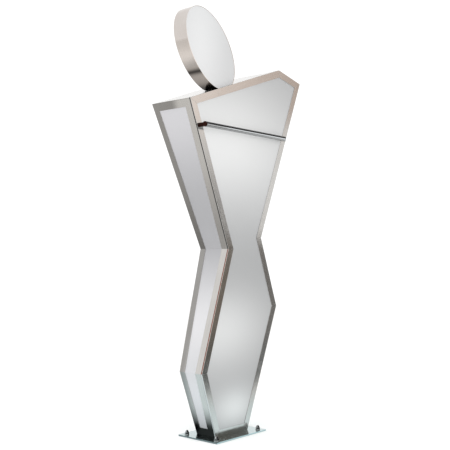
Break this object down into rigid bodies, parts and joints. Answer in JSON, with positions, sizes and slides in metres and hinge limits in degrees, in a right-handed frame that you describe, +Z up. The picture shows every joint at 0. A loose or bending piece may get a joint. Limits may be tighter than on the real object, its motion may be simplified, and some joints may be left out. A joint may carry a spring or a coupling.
{
  "type": "full body mannequin",
  "caption": "Abstract angular standing display figure: folded steel body with opal light panels, oval head, chest rail and a bolted floor plate.",
  "frame": {"origin": "middle of the base plate's underside, on the floor", "axes": "+Z up, the figure faces -Y, +X towards the figure's left shoulder ridge"},
  "size_m": [0.7878, 0.3139, 1.85],
  "materials": {
    "black_plastic": "moulded black nylon",
    "body_opal": "satin opal acrylic sheet",
    "brushed_skin": "satin-brushed stainless sheet",
    "chrome_rail": "mirror-polished tube",
    "dark_bronze": "dark bronzed, semi-gloss",
    "driver_case": "moulded white case",
    "head_opal": "satin opal acrylic sheet",
    "lamp_board": "white solder-mask board",
    "lamp_tray": "mill-finish folded tray",
    "polished_base": "polished stainless plate",
    "polished_fixings": "polished stainless fixings",
    "polished_rim": "finely polished stainless band",
    "wire": "black sheathed flex",
    "zinc_steel": "zinc-plated steel"
  },
  "bodies": {
    "body": {"base_plate": "polished_base", "anchor_washer_1": "polished_fixings", "anchor_bolt_1": "polished_fixings", "anchor_washer_2": "polished_fixings", "anchor_bolt_2": "polished_fixings", "anchor_washer_3": "polished_fixings", "anchor_bolt_3": "polished_fixings", "anchor_washer_4": "polished_fixings", "anchor_bolt_4": "polished_fixings", "foot_plate": "zinc_steel", "foot_bolt_1": "zinc_steel", "foot_bolt_2": "zinc_steel", "foot_bolt_3": "zinc_steel", "foot_bolt_4": "zinc_steel", "spine": "zinc_steel", "rib_knee": "zinc_steel", "rib_waist": "zinc_steel", "rib_chest": "zinc_steel", "left_side_skin": "brushed_skin", "left_diffuser": "body_opal", "left_retainer": "zinc_steel", "right_side_skin": "brushed_skin", "right_diffuser": "body_opal", "right_retainer": "zinc_steel", "shoulder_cap": "brushed_skin", "back_panel": "brushed_skin", "neck_plate": "zinc_steel", "head_rim": "polished_rim", "head_face": "head_opal", "head_back": "brushed_skin", "head_base": "zinc_steel", "neck_bolt_1": "zinc_steel", "neck_bolt_2": "zinc_steel", "head_grommet": "black_plastic", "head_lamp": "lamp_board", "cover_magnet_1": "black_plastic", "cover_magnet_2": "black_plastic", "cover_magnet_3": "black_plastic", "cover_magnet_4": "black_plastic", "lamp_tray_foot": "lamp_tray", "lamp_board_foot": "lamp_board", "lamp_tray_thigh": "lamp_tray", "lamp_board_thigh": "lamp_board", "lamp_tray_chest": "lamp_tray", "lamp_board_chest": "lamp_board", "lamp_driver": "driver_case", "cable_gland": "black_plastic", "supply_lead": "wire", "lamp_lead": "wire"},
    "front_cover": {"front_cover_frame": "brushed_skin", "front_diffuser": "body_opal", "front_retainer": "zinc_steel", "chest_rail": "chrome_rail", "rail_plug_left": "dark_bronze", "rail_plug_right": "dark_bronze", "rail_pin": "dark_bronze", "rail_lug": "brushed_skin", "rail_screw_left": "zinc_steel", "rail_screw_right": "zinc_steel"}
  },
  "joints": [
    {"name": "cover_lift_off", "type": "slide", "parent": "body", "child": "front_cover", "axis": [0, -1, 0], "range_m": [0, 0.12]}
  ]
}
